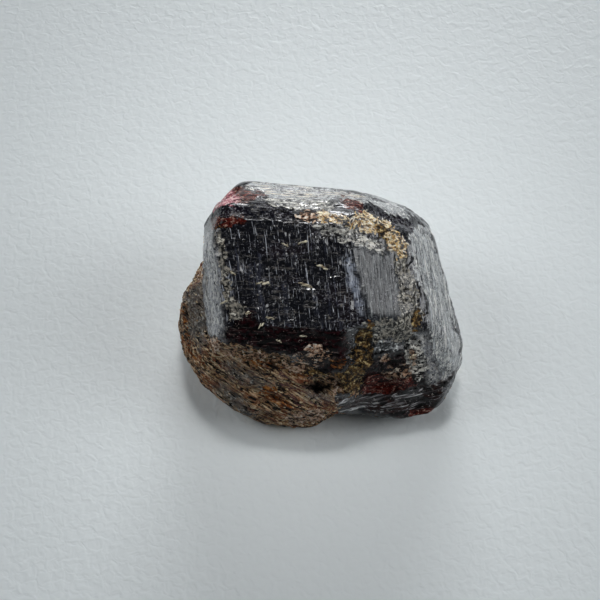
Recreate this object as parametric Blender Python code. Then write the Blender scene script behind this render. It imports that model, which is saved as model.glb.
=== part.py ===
"""Garnet crystal: one loose, worn crystal on a crust of mica schist, as it lies on a table.

Run with blender --background --python part.py. Metres, +Z up. The part rests on z = 0, and -Y is its front.

The main crystal and its foot are grown as mineralogists draw them: a block cut by each face of the lattice
at its own distance from the heart. Both share one lattice, so their faces are parallel. A low sill of schist
joins them on the right, and then wear, waves, pits and chips are worked into the one skin.
"""

import math

import bmesh
import bpy
import numpy as np
from mathutils import Matrix, Vector, noise
from mathutils.bvhtree import BVHTree

MM = 0.001

# How the lattice lies. The crown is the (110) face on top. It leans towards the front, and the c axis
# is turned in the crown's plane, anticlockwise from +X as one looks down on the crown.
CROWN_LEAN_DEG = 30.0
LATTICE_TURN_DEG = 50.0

# Each body's faces: Miller index, and distance from its heart in mm. A flat is a worn or broken face that
# follows no lattice plane: turn and tilt in the crown's frame, and distance.
MAIN_HEART_MM = (0.0, -1.1, 8.5)
MAIN_FACES_MM = {
    (1, 1, 0): 7.0,
    (2, 1, 1): 7.9,
    (1, 0, 1): 9.9,
    (1, -1, 2): 11.8,
    (1, 2, 1): 9.5,
    (0, 1, 1): 10.1,
    (-1, 1, 2): 10.6,
    (1, 1, 2): 10.0,
    (-1, 2, -1): 12.1,
    (-1, 1, 0): 12.9,
    (-1, 2, 1): 12.9,
    (2, 1, -1): 7.2,
    (1, 0, -1): 6.9,
    (1, -1, -2): 10.0,
    (1, -1, 0): 14.0,
    (2, -1, 1): 12.8,
    (2, -1, -1): 12.0,
    (-1, 0, 1): 11.0,
    (0, -1, 1): 12.0,
    (1, 1, -2): 10.0,
    (-1, -1, 0): 9.0,
    (0, -1, -1): 10.0,
    (-1, 0, -1): 10.0,
}
MAIN_FLATS = {
    "left_flank": (186.0, 62.0, 11.0),
    "left_wall": (187.0, 92.0, 9.9),
    "top_corner": (68.0, 82.0, 10.9),
    "right_corner": (44.0, 82.0, 11.9),
    "lower_bevel": (-55.0, 36.0, 7.45),
}
FOOT_HEART_MM = (-5.0, -3.0, 5.7)
FOOT_FACES_MM = {
    (1, 1, 0): 6.4,
    (2, 1, -1): 6.1,
    (1, 2, -1): 6.2,
    (1, 1, -2): 6.4,
    (1, 0, -1): 7.2,
    (0, 1, -1): 6.9,
    (1, -1, -2): 8.3,
    (2, -1, -1): 9.0,
    (0, 1, 1): 8.0,
    (1, 0, 1): 8.0,
    (1, -1, 0): 10.0,
    (-1, -1, 0): 9.0,
    (0, -1, -1): 9.0,
    (-1, 0, -1): 9.0,
    (-1, 0, 1): 9.0,
    (0, -1, 1): 9.0,
}
FOOT_FLATS = {
    "lump_top": (170.0, 35.0, 7.1),
    "upper_rim": (150.0, 85.0, 8.5),
    "left_rim": (182.0, 85.0, 8.1),
    "left_corner_rim": (-152.0, 85.0, 7.5),
    "corner_rim": (-132.0, 85.0, 7.3),
    "front_rim": (-112.0, 85.0, 7.6),
    "right_rim": (-62.0, 85.0, 9.3),
}
SILL_HEART_MM = (7.0, -6.5, 2.8)
SILL_FLATS = {
    "top": (-80.0, 10.0, 2.7),
    "shoulder": (-74.0, 45.0, 2.9),
    "front": (-95.0, 52.0, 3.0),
    "right": (-35.0, 75.0, 4.45),
    "under": (-90.0, 150.0, 1.3),
    "left": (180.0, 90.0, 6.0),
    "back": (90.0, 90.0, 5.0),
    "far_right": (10.0, 90.0, 5.5),
}

# Fusing and wear: the voxel that joins the bodies, and passes of smoothing on each body and on the joins.
BLOCK_MM = 80.0
FUSE_VOXEL_MM = 0.35
MAIN_WEAR_PASSES = 5
FOOT_WEAR_PASSES = 30
JOIN_WEAR_PASSES = 4

# Relief of the skin: how high each kind stands, and how far apart its swells are.
UNEVEN_MM = 0.10
UNEVEN_SPACING_MM = 4.0
SCHIST_MM = 0.28
SCHIST_SPACING_MM = 1.5
SCHIST_LAYERS = (1, -1, 0)
SCHIST_STRETCH = 2.5
SCHIST_EDGE_MM = (0.15, 0.7)
RIDGE_MM = 0.24
RIDGE_SPACING_MM = 1.5
RIDGE_STRETCH = 7.0
RIDGE_ZONE = (1, -1, -1)
RIDGED_SIDE_MM = (6.0, 10.0)

# Scoops: where a ray down on the crown meets the skin (across, up), the scoop's radius and its depth.
SCOOPS_MM = {
    "pit": (-0.2, -7.4, 1.3, 0.9),
    "pit_tail": (0.9, -7.5, 1.3, 0.45),
    "chip_on_the_crown_edge": (3.0, -3.7, 4.0, 0.35),
    "hollow_under_the_crown": (5.9, -6.0, 4.5, 0.35),
    "dip_over_the_sill": (3.6, -7.8, 3.0, 0.3),
    "red_chip": (9.2, -9.5, 3.5, 0.35),
    "top_left_chip": (-8.4, 9.8, 4.0, 0.5),
    "top_right_chip": (5.4, 9.3, 5.0, 0.35),
    "right_corner_chip": (9.3, 6.9, 4.0, 0.3),
    "corner_under_the_flank": (-8.9, -4.8, 2.5, 0.4),
    "lump_hollow": (-12.0, -1.5, 3.5, 0.4),
}
SCOOP_UNEVEN = 0.6
SCOOP_SPACING_MM = 1.4
SCOOP_START_MM = 40.0
TRIANGLES = 9800
SHARP_DEG = 40.0

GARNET_COLOUR = (0.024, 0.016, 0.019, 1.0)
GARNET_ROUGHNESS = 0.35
GARNET_IOR = 1.8


def crown_frame():
    """Across, up and out of the crown face, as the columns of a matrix."""
    lean = math.radians(CROWN_LEAN_DEG)
    crown = Vector((0, -math.sin(lean), math.cos(lean)))
    across = Vector((1, 0, 0))
    return Matrix((across, crown.cross(across), crown)).transposed()


def lattice():
    """The crystal axes as the columns of a matrix."""
    across, up, crown = crown_frame().transposed()
    turn = math.radians(LATTICE_TURN_DEG)
    c_axis = across * math.cos(turn) + up * math.sin(turn)
    short_axis = across * math.sin(turn) - up * math.cos(turn)
    a_axis = (crown + short_axis).normalized()
    b_axis = (crown - short_axis).normalized()
    return Matrix((a_axis, b_axis, c_axis)).transposed()


def flat_normal(turn_deg, tilt_deg):
    turn, tilt = math.radians(turn_deg), math.radians(tilt_deg)
    across, up = math.sin(tilt) * math.cos(turn), math.sin(tilt) * math.sin(turn)
    return crown_frame() @ Vector((across, up, math.cos(tilt)))


def planes_of(faces_mm, flats):
    """Outward normal and distance of each face and flat of a body."""
    axes = lattice()
    planes = [((axes @ Vector(miller)).normalized(), d) for miller, d in faces_mm.items()]
    return planes + [(flat_normal(turn, tilt), d) for turn, tilt, d in flats.values()]


def link(name, mesh):
    data = bpy.data.meshes.new(name)
    mesh.to_mesh(data)
    mesh.free()
    made = bpy.data.objects.new(name, data)
    bpy.context.scene.collection.objects.link(made)
    return made


def keep_inside(mesh, point, normal):
    """Cuts off what lies beyond a plane, and closes the cut with one flat face."""
    cut = bmesh.ops.bisect_plane(
        mesh,
        geom=mesh.verts[:] + mesh.edges[:] + mesh.faces[:],
        plane_co=point,
        plane_no=normal,
        clear_outer=True,
    )
    rim = [part for part in cut["geom_cut"] if isinstance(part, bmesh.types.BMEdge)]
    if rim:
        bmesh.ops.edgeloop_fill(mesh, edges=rim)


def wear_down(made, passes):
    """Remeshes a body evenly, and rounds its edges."""
    fuse = made.modifiers.new("fuse", "REMESH")
    fuse.mode = "VOXEL"
    fuse.voxel_size = FUSE_VOXEL_MM * MM
    wear = made.modifiers.new("wear", "SMOOTH")
    wear.factor = 0.5
    wear.iterations = passes


def grown_body(name, heart_mm, planes, wear_passes):
    """A block cut by each plane in turn, then worn."""
    heart = Vector(heart_mm)
    mesh = bmesh.new()
    bmesh.ops.create_cube(mesh, size=BLOCK_MM * MM)
    bmesh.ops.translate(mesh, verts=mesh.verts, vec=heart * MM)
    for normal, distance_mm in planes:
        keep_inside(mesh, (heart + normal * distance_mm) * MM, normal)
    bmesh.ops.recalc_face_normals(mesh, faces=mesh.faces)
    made = link(name, mesh)
    wear_down(made, wear_passes)
    return made


def beyond_planes(points_mm, heart_mm, planes):
    """How far each point lies outside a body's planes. It is negative inside."""
    normals = np.array([normal for normal, _ in planes])
    distances = np.array([distance for _, distance in planes])
    return ((points_mm - np.array(heart_mm)) @ normals.T - distances).max(axis=1)


def ramp(values, low, high):
    share = np.clip((values - low) / (high - low), 0.0, 1.0)
    return share * share * (3.0 - 2.0 * share)


def swells(points_mm, spacing_mm, along_axis=(1, 0, 0), stretch=1.0):
    """Smooth noise from -1 to 1, drawn out along an axis if it is stretched."""
    axis = np.array(along_axis) / np.linalg.norm(along_axis)
    along = points_mm @ axis
    shortened = points_mm + np.outer(along * (1.0 / stretch - 1.0), axis)
    return np.array([noise.noise(Vector(point)) for point in shortened / spacing_mm])


def stand_out_mm(points_mm, main_planes):
    """How far the skin stands out at each point: uneven all over, rough on schist, ridged on the right."""
    schist = ramp(beyond_planes(points_mm, MAIN_HEART_MM, main_planes), *SCHIST_EDGE_MM)
    ridged = ramp(points_mm[:, 0], *RIDGED_SIDE_MM) * (1.0 - schist)
    zone = lattice() @ Vector(RIDGE_ZONE)
    uneven = swells(points_mm, UNEVEN_SPACING_MM)
    rough = swells(points_mm, SCHIST_SPACING_MM, SCHIST_LAYERS, SCHIST_STRETCH)
    ridges = swells(points_mm, RIDGE_SPACING_MM, zone, RIDGE_STRETCH)
    return UNEVEN_MM * uneven + SCHIST_MM * rough * schist + RIDGE_MM * ridges * ridged


def scoop_out(points_mm, tree, across_mm, up_mm, radius_mm, depth_mm):
    """Pushes the skin inside an uneven ball back to the ball's wall, as a lost flake leaves the stone."""
    frame = crown_frame()
    start = frame @ Vector((across_mm, up_mm, SCOOP_START_MM)) + Vector(MAIN_HEART_MM)
    hit, normal, _, _ = tree.ray_cast(start * MM, -frame.col[2])
    centre = np.array(hit / MM + normal * (radius_mm - depth_mm))
    offsets = points_mm - centre
    reach = np.linalg.norm(offsets, axis=1)
    wall = radius_mm + SCOOP_UNEVEN * depth_mm * swells(points_mm, SCOOP_SPACING_MM)
    inside = reach < wall
    points_mm[inside] = centre + offsets[inside] * (wall / reach)[inside, None]


def work_the_skin(data, main_planes):
    """Moves the vertices of the fused mesh into the worn, pitted skin."""
    tree = BVHTree.FromPolygons([vert.co for vert in data.vertices], [face.vertices for face in data.polygons])
    points_mm = np.array([vert.co / MM for vert in data.vertices])
    normals = np.array([vert.normal for vert in data.vertices])
    points_mm += normals * stand_out_mm(points_mm, main_planes)[:, None]
    for scoop in SCOOPS_MM.values():
        scoop_out(points_mm, tree, *scoop)
    data.vertices.foreach_set("co", (points_mm * MM).astype(np.float32).ravel())
    data.update()


def evaluated_mesh(made):
    bpy.context.view_layer.update()
    graph = bpy.context.evaluated_depsgraph_get()
    return bpy.data.meshes.new_from_object(made.evaluated_get(graph))


def thinned(data):
    """The same skin with about TRIANGLES faces, flat stretches first."""
    full = bpy.data.objects.new("full_skin", data)
    bpy.context.scene.collection.objects.link(full)
    data.calc_loop_triangles()
    thin = full.modifiers.new("thin", "DECIMATE")
    thin.ratio = TRIANGLES / len(data.loop_triangles)
    thin.use_collapse_triangulate = True
    made = evaluated_mesh(full)
    bpy.data.objects.remove(full)
    return made


def resting_crystal(data):
    """Cuts the base flat at z = 0, and centres the stone over the origin."""
    mesh = bmesh.new()
    mesh.from_mesh(data)
    keep_inside(mesh, (0, 0, 0), (0, 0, -1))
    for axis in (0, 1):
        places = [vert.co[axis] for vert in mesh.verts]
        middle = (min(places) + max(places)) / 2
        for vert in mesh.verts:
            vert.co[axis] -= middle
    crystal = link("garnet_crystal", mesh)
    crystal.data.shade_smooth()
    crystal.data.set_sharp_from_angle(angle=math.radians(SHARP_DEG))
    return crystal


def garnet_material():
    material = bpy.data.materials.new("almandine_garnet")
    material.use_nodes = True
    surface = material.node_tree.nodes["Principled BSDF"]
    surface.inputs["Base Color"].default_value = GARNET_COLOUR
    surface.inputs["Roughness"].default_value = GARNET_ROUGHNESS
    surface.inputs["Metallic"].default_value = 0.0
    surface.inputs["IOR"].default_value = GARNET_IOR
    return material


def main():
    for old in list(bpy.data.objects):
        bpy.data.objects.remove(old)
    main_planes = planes_of(MAIN_FACES_MM, MAIN_FLATS)
    main_crystal = grown_body("main", MAIN_HEART_MM, main_planes, MAIN_WEAR_PASSES)
    foot = grown_body("foot", FOOT_HEART_MM, planes_of(FOOT_FACES_MM, FOOT_FLATS), FOOT_WEAR_PASSES)
    sill = grown_body("sill", SILL_HEART_MM, planes_of({}, SILL_FLATS), MAIN_WEAR_PASSES)
    for other in (foot, sill):
        union = main_crystal.modifiers.new("grown_together", "BOOLEAN")
        union.operation = "UNION"
        union.object = other
    wear_down(main_crystal, JOIN_WEAR_PASSES)
    data = evaluated_mesh(main_crystal)
    for helper in (main_crystal, foot, sill):
        bpy.data.objects.remove(helper)
    work_the_skin(data, main_planes)
    crystal = resting_crystal(thinned(data))
    crystal.data.materials.append(garnet_material())


main()
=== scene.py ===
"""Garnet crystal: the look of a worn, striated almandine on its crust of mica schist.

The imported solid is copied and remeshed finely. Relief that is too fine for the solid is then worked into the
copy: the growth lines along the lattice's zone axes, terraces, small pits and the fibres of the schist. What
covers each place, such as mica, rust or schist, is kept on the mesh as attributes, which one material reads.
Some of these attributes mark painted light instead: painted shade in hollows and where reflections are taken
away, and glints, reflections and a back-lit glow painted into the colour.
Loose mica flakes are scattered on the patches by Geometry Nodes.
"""

import math

import bmesh
import bpy
import numpy as np
from mathutils import Matrix, Vector, noise
from mathutils.bvhtree import BVHTree


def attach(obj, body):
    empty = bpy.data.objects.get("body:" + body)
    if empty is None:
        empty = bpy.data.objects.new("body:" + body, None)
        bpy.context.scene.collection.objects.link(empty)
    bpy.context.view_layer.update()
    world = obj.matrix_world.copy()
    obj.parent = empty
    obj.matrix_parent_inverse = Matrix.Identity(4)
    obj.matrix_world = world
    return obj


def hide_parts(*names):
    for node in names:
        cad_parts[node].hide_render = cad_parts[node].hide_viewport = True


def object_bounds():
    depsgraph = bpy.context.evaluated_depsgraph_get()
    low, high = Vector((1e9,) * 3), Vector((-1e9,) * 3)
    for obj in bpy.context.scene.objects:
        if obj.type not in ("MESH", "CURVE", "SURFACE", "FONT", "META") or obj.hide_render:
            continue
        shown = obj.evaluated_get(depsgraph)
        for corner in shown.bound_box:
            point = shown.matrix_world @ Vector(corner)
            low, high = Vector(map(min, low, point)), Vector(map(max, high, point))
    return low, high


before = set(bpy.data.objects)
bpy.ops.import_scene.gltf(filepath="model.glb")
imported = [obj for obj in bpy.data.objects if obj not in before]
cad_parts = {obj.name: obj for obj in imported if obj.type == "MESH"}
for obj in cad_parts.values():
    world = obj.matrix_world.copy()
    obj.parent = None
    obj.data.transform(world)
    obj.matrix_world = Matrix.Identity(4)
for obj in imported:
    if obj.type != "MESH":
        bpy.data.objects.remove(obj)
CAD_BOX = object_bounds()
MM = 0.001

# The lattice and the main crystal's faces, as the solid has them.
CROWN_LEAN_DEG = 30.0
LATTICE_TURN_DEG = 50.0
MAIN_HEART_MM = Vector((0.0, -1.1, 8.5))
MAIN_FACES_MM = {
    (1, 1, 0): 7.0,
    (2, 1, 1): 7.9,
    (1, 0, 1): 9.9,
    (1, -1, 2): 11.8,
    (1, 2, 1): 9.5,
    (0, 1, 1): 10.1,
    (-1, 1, 2): 10.6,
    (1, 1, 2): 10.0,
    (-1, 2, -1): 12.1,
    (-1, 1, 0): 12.9,
    (-1, 2, 1): 12.9,
    (2, 1, -1): 7.2,
    (1, 0, -1): 6.9,
    (1, -1, -2): 10.0,
    (1, -1, 0): 14.0,
    (2, -1, 1): 12.8,
    (2, -1, -1): 12.0,
    (-1, 0, 1): 11.0,
    (0, -1, 1): 12.0,
    (1, 1, -2): 10.0,
    (-1, -1, 0): 9.0,
    (0, -1, -1): 10.0,
    (-1, 0, -1): 10.0,
}
MAIN_FLATS = {
    "left_flank": (186.0, 62.0, 11.0),
    "left_wall": (187.0, 92.0, 9.9),
    "top_corner": (68.0, 82.0, 10.9),
    "right_corner": (44.0, 82.0, 11.9),
    "lower_bevel": (-55.0, 36.0, 7.45),
}
ZONES = {"upright": (1, -1, -1), "level": (1, -1, 1)}

# The growth lines stray a little from the lattice: the turn of each kind, and how fast the upright ones fan.
LINE_TURN_DEG = {"upright": -9.0, "level": 4.0}
FAN_PER_MM = 0.006

# The camera stands where the crown faces it.
CAMERA_ELEVATION_DEG = 60.0
CAMERA_DISTANCE_MM = 120.0
CAMERA_SENSOR_MM = 36.0
PIXELS = 600
PIXELS_PER_MM = 10.9
HEART_PIXEL = (320.0, 304.0)

# The studio: where each softbox stands and how large it is, in mm, and how bright its face looks.
SOFTBOXES = {
    "window": ((60.0, 700.0, 260.0), (360.0, 180.0), 14.5),
    "right_panel": ((560.0, -40.0, 420.0), (420.0, 420.0), 3.3),
    "left_panel": ((-560.0, 60.0, 560.0), (420.0, 420.0), 3.1),
}
SOFTBOX_COLOUR = "FBFDFF"
POOL_PLACE_MM = Vector((4.0, 76.0, 206.0))
POOL_AIM_MM = Vector((0.0, 9.0, 0.0))
POOL_RADIUS_MM = 30.0
POOL_CONE_DEG = 19.5
POOL_WATTS = 0.82
SKY_COLOUR = "E4EAF0"
SKY_STRENGTH = 0.035

FLOOR_MM = 1600.0
FLOOR_COLOUR = "E5EBEC"
FLOOR_GRAIN_MM = 0.8
FLOOR_RELIEF_MM = 0.095

# Remeshing: the voxel keeps the skin under 200,000 triangles.
SKIN_VOXEL_MM = 0.156
SKIN_SMOOTHING = 4
MERGE_M = 1e-6

# The runs that patterns are drawn out along, besides the two zones.
SCHIST_LAYERS = Vector((1.0, -0.5, -0.35))
LEDGE_RUN = Vector((1.0, 0.22, 0.12))

# Relief worked into the skin, always inwards: its depth and spacing in mm, how far it is drawn out along its
# run, and the two levels of its noise, from -1 to 1, between which it falls to its full depth.
RELIEF = {
    "upright": (0.10, 0.36, 10.0, 0.05, 0.35),
    "level": (0.06, 0.46, 6.0, 0.05, 0.35),
    "busy": (0.13, 0.46, 1.4, -0.05, 0.2),
    "crust": (0.22, 0.60, 3.0, -0.5, 0.5),
    "grains": (0.12, 0.24, 6.0, -0.3, 0.3),
    "pits": (0.12, 0.9, 1.0, 0.48, 0.68),
}
PIT_SHIFT_MM = 30.0
# Terraces are steps down at two levels of one broad pattern.
TERRACE_MM = 0.09
TERRACE_SPACING_MM = 1.6
TERRACE_STRETCH = 1.6
TERRACE_STEPS = ((-0.02, 0.06), (0.28, 0.36))
# How far each smooth or covered place takes the garnet's relief down.
CALM = {"smooth": 0.85, "red": 0.9, "pale": 0.85, "wine": 0.5}
REST_MM = 0.35

# How far beyond the main crystal's faces the schist begins, and how well a face has to fit a zone to show its
# growth lines.
CRUST_BEYOND_MM = (0.15, 0.7)
ZONE_FIT = (0.75, 0.97)
# The places' outlines are frayed by two patterns: their spacing in mm and their reach in pixels.
FRAYS = ((0.9, 4.0), (0.3, 3.0))
FRAY_SHIFTS_MM = (0.0, 50.0)
# A place ends where the skin turns away from the camera. Beyond it, patches of three kinds carry on: their
# spacing and shift in mm, the levels of noise between which they rise, and how strong they are.
SHOWN_FROM = (0.0, 0.15)
HIDDEN_PATCHES = {
    "mica": (3.2, 20.0, 0.2, 0.6, 1.0),
    "rust": (2.6, 70.0, 0.1, 0.6, 1.0),
    "pale": (4.0, 90.0, -0.3, 0.4, 0.6),
}

# How soft a place's outline is, and those that are softer or sharper.
PLACE_EDGE_PX = 4.0
OTHER_EDGES_PX = {
    "smooth": 8.0, "mauve": 8.0, "wine": 7.0, "busy": 7.0, "slate": 7.0, "speckled": 7.0, "haze": 6.0,
    "pale": 6.0, "pit": 2.5,
}

# Outlines of the places on the skin, in the camera's own pixels.
PLACES = {
    "red": {
        "top_left_glass": (
            (208, 212), (214, 200), (226, 190), (236, 185), (250, 189), (268, 195), (250, 203),
            (228, 206),
        ),
        "left_band": ((210, 219), (222, 215), (244, 216), (246, 222), (228, 225), (212, 230)),
        "top_right_glass": ((340, 196), (350, 192), (362, 196), (364, 212), (354, 210), (342, 204)),
        "sill_glass": ((366, 378), (385, 373), (412, 378), (416, 388), (400, 394), (380, 398), (362, 396)),
        "broken_corner": ((410, 408), (436, 405), (432, 414), (424, 419), (408, 418)),
    },
    # Painted light: the pink glow of glass lit through from behind.
    "backlit_pink": {
        "top_left_edge": (
            (208, 214), (212, 202), (224, 192), (232, 191), (235, 198), (238, 206), (212, 212),
        ),
    },
    # Wine red garnet; its places also lose their reflections as painted shade.
    "wine": {
        "lower_left": ((240, 314), (252, 312), (262, 328), (272, 340), (270, 350), (222, 346), (226, 334)),
        "lower_band": ((219, 328), (262, 326), (346, 330), (352, 352), (300, 356), (230, 352)),
        "under_bevel": ((296, 352), (350, 346), (354, 366), (330, 374), (298, 364)),
        "over_pit": ((298, 367), (320, 363), (334, 366), (336, 377), (306, 380)),
        "sill_dark": (
            (366, 356), (414, 350), (452, 372), (440, 384), (412, 392), (392, 398), (362, 396),
            (356, 380),
        ),
        "under_ledge": ((360, 408), (410, 402), (448, 384), (440, 404), (420, 420), (366, 414)),
    },
    "mica": {
        "gold_left": ((316, 212), (326, 209), (338, 215), (352, 219), (354, 228), (338, 226), (320, 220)),
        "gold_middle": ((356, 213), (370, 209), (378, 218), (378, 232), (366, 234), (352, 224)),
        "gold_upper": ((376, 216), (388, 218), (400, 232), (402, 240), (394, 240), (390, 228), (380, 221)),
        "gold_right": ((384, 233), (399, 233), (408, 242), (411, 256), (402, 259), (390, 248)),
    },
    # Painted shade: the bottoms of the hollows.
    "pit": {
        "hollow": ((306, 385), (318, 381), (331, 383), (331, 389), (318, 392), (309, 390)),
        "chink": ((339, 383), (345, 382), (346, 386), (340, 387)),
    },
    "crust": {
        "foot_top": (
            (186, 342), (206, 342), (232, 345), (265, 353), (286, 357), (298, 368), (326, 369),
            (338, 377), (348, 386), (340, 396), (334, 440), (170, 440),
        ),
    },
    "tan": {
        "corner": ((207, 336), (214, 334), (222, 346), (238, 352), (232, 360), (214, 356), (206, 348)),
        "band_foot": ((302, 351), (312, 344), (324, 346), (327, 356), (316, 359), (305, 357)),
        "chips": ((246, 354), (262, 352), (270, 360), (256, 362)),
        "chips_right": ((274, 364), (292, 360), (306, 368), (300, 376), (284, 372)),
        "step": ((388, 372), (410, 368), (412, 376), (396, 379), (384, 378)),
        "pink_start": ((291, 213), (306, 209), (318, 212), (322, 220), (306, 223), (293, 219)),
        "by_pit": ((330, 382), (338, 378), (344, 392), (334, 400)),
        "gold_step": ((377, 355), (385, 352), (394, 356), (393, 363), (379, 363)),
        "pale_spot": ((409, 348), (416, 346), (417, 369), (410, 368)),
        "lump_gold": ((193, 284), (198, 268), (205, 266), (205, 282)),
        "foot_end": ((280, 418), (312, 410), (330, 412), (318, 424), (290, 428)),
    },
    "olive": {
        "side": ((410, 308), (420, 306), (424, 320), (421, 332), (412, 330)),
        "mica_middle": ((374, 222), (388, 222), (394, 236), (386, 244), (376, 238)),
        "hollow": ((352, 344), (366, 322), (375, 320), (374, 346), (374, 362), (362, 380), (350, 372)),
        "sill": ((337, 371), (352, 368), (365, 376), (364, 392), (348, 398), (334, 392)),
        "band_foot": (
            (222, 346), (290, 356), (330, 372), (352, 376), (344, 384), (308, 376), (262, 364),
            (226, 356),
        ),
    },
    "haze": {
        "left_strip": ((200, 234), (212, 230), (217, 260), (219, 300), (222, 338), (208, 342), (202, 300)),
        "lump_face": ((190, 292), (204, 296), (206, 334), (192, 338)),
        "right_bevel": ((416, 334), (427, 338), (438, 368), (452, 380), (444, 390), (430, 384), (424, 362)),
    },
    # A pale film, and painted reflection of the window on the top sliver and far right faces.
    "pale": {
        "top_sliver": (
            (238, 185), (250, 181), (300, 183), (350, 192), (395, 202), (415, 218), (404, 220),
            (372, 205), (345, 199), (300, 203), (270, 201), (262, 192), (248, 188),
        ),
        "far_right": (
            (418, 222), (432, 230), (442, 262), (452, 300), (462, 350), (460, 376), (444, 384),
            (432, 350), (424, 300), (414, 260), (408, 236),
        ),
    },
    # Painted shade: the reflections are taken away here.
    "dim": {
        "top_band": ((206, 206), (262, 201), (300, 205), (322, 211), (310, 221), (250, 221), (206, 224)),
        "under_ledge": ((346, 402), (396, 402), (446, 384), (446, 402), (424, 422), (362, 416)),
    },
    "chipped": {
        "band_edge": (
            (206, 336), (222, 346), (262, 353), (300, 357), (330, 352), (332, 360), (300, 370),
            (262, 366), (222, 356),
        ),
        "pit_rim": ((294, 376), (306, 379), (336, 376), (340, 380), (332, 383), (306, 382), (296, 380)),
        "sill_top": ((384, 371), (400, 368), (413, 368), (414, 375), (398, 378), (386, 378)),
    },
    "banded": {
        "ledge": (
            (330, 400), (380, 394), (410, 391), (440, 383), (456, 370), (458, 376), (442, 392),
            (410, 402), (334, 412),
        ),
        "under_ledge": (
            (352, 404), (396, 401), (420, 396), (446, 386), (440, 398), (424, 408), (404, 411),
            (366, 412),
        ),
    },
    "bare": {
        "under_ledge": ((336, 396), (370, 396), (450, 380), (446, 404), (424, 424), (340, 416)),
        "over_pit": ((298, 367), (320, 363), (334, 366), (336, 377), (306, 380)),
    },
    # Scraped edges, and a painted highlight: their bluish-white streak is laid in the colour.
    "frost_and_highlight": {
        "crown_edge": (
            (344, 256), (350, 256), (356, 280), (362, 300), (366, 312), (360, 310), (354, 296),
            (348, 282),
        ),
        "left_scrape": ((218, 268), (227, 266), (231, 298), (221, 300)),
    },
    "speckled": {
        "left_edge": ((215, 232), (223, 231), (229, 266), (233, 300), (226, 312), (220, 290)),
        "left_foot": ((226, 294), (238, 298), (246, 312), (242, 324), (230, 322)),
        "right_of_facet": (
            (393, 246), (408, 254), (420, 290), (424, 316), (410, 334), (400, 320), (398, 280),
        ),
        "below_facet": ((360, 322), (380, 318), (412, 318), (416, 342), (396, 344), (372, 342)),
    },
    "crinkled": {
        "mica_foot": (
            (312, 222), (330, 221), (346, 226), (362, 232), (388, 248), (382, 256), (364, 247),
            (346, 242), (320, 234),
        ),
        "above_band": ((262, 196), (290, 198), (326, 198), (340, 206), (322, 210), (296, 210), (270, 206)),
        # Painted glints: the white here stands for glints on the right bevel.
        "glinting_step": ((404, 344), (420, 338), (430, 366), (420, 382), (408, 374)),
    },
    "rust": {
        "orange_middle": ((256, 386), (270, 386), (282, 394), (288, 404), (274, 404), (260, 396)),
        "orange_low": ((274, 404), (286, 402), (302, 408), (296, 414), (278, 412)),
        "under_edge": ((238, 352), (262, 352), (300, 364), (324, 374), (306, 382), (262, 370), (240, 362)),
        "under_bevel": ((328, 360), (346, 352), (352, 362), (340, 372), (328, 370)),
        "left_seam": ((212, 225), (230, 224), (226, 229), (212, 233)),
        "fleck": ((324, 239), (333, 240), (332, 245), (325, 245)),
        "hollow": ((364, 318), (372, 318), (374, 334), (366, 336)),
        "lump_edge": ((178, 300), (184, 300), (188, 340), (200, 372), (212, 392), (200, 384), (182, 345)),
    },
    "slate": {
        "lump_top": ((182, 292), (196, 280), (208, 284), (210, 334), (200, 350), (186, 336)),
        "foot_left": ((212, 388), (224, 384), (238, 398), (256, 416), (246, 420), (228, 408)),
        "foot_shade": ((222, 362), (244, 368), (272, 384), (262, 390), (240, 384), (226, 376)),
        "under_pit": ((304, 392), (330, 392), (334, 400), (306, 402)),
    },
    "mauve": {
        "foot_right": (
            (268, 372), (300, 376), (316, 394), (332, 400), (326, 412), (300, 412), (284, 398),
            (270, 386),
        ),
    },
    # Smooth faces, greyed by painted reflection of the light at the right.
    "smooth": {
        "right_facet": ((352, 240), (386, 246), (396, 262), (400, 290), (406, 326), (374, 330), (358, 290)),
        "lump_face": ((190, 292), (204, 296), (206, 334), (192, 338)),
    },
    # Painted glints: white specks on black garnet at the crumpled lower right.
    "busy": {
        "lower_right": (
            (350, 330), (376, 342), (418, 338), (422, 350), (436, 382), (412, 378), (376, 370),
            (348, 366),
        ),
        "sill": (
            (396, 338), (420, 330), (436, 366), (446, 382), (424, 392), (410, 386), (414, 366),
            (404, 350),
        ),
        "right_end": ((424, 360), (446, 366), (458, 372), (446, 392), (424, 396)),
    },
}

# The finish's noise patterns: the run that each is drawn out along, its length and width in mm, and its
# detail, roughness and distortion. Growth lines and dust are drawn about twice as wide as real ones, so that
# they show.
PATTERNS = {
    "hairs": ("upright", (2.3, 0.13), 2.0, 0.5, 0.3),
    "lines": ("upright", (5.0, 0.17), 2.0, 0.5, 0.0),
    "waves": ("upright", (5.0, 0.42), 4.0, 0.6, 0.8),
    "threads": ("upright", (11.0, 0.30), 3.0, 0.55, 0.5),
    "wrinkles": ("level", (1.5, 0.20), 2.5, 0.5, 1.0),
    "level_waves": ("level", (3.4, 0.34), 4.0, 0.6, 0.9),
    "dust": ("level", (0.22, 0.14), 2.0, 0.5, 0.0),
    "nets": ("level", (0.70, 0.42), 3.0, 0.6, 1.0),
    "broad": ("level", (3.5, 2.2), 2.0, 0.5, 0.0),
    "swirls": ("ledge", (4.4, 0.30), 3.0, 0.5, 0.8),
    "fibres": ("schist", (1.7, 0.19), 3.0, 0.6, 0.5),
    "chips": ("schist", (0.9, 0.40), 3.0, 0.65, 0.8),
    "mottle": ("schist", (3.4, 1.5), 4.0, 0.6, 0.6),
    "grains": ("any", (0.30, 0.30), 3.0, 0.65, 0.0),
}
# Thin dark lines in the film, where its strands cross a level: the level, and half the line's width.
STRAND_LINES = {"grey_line": (0.44, 0.022), "black_line": (0.50, 0.014), "thin_line": (0.57, 0.010)}
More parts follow.
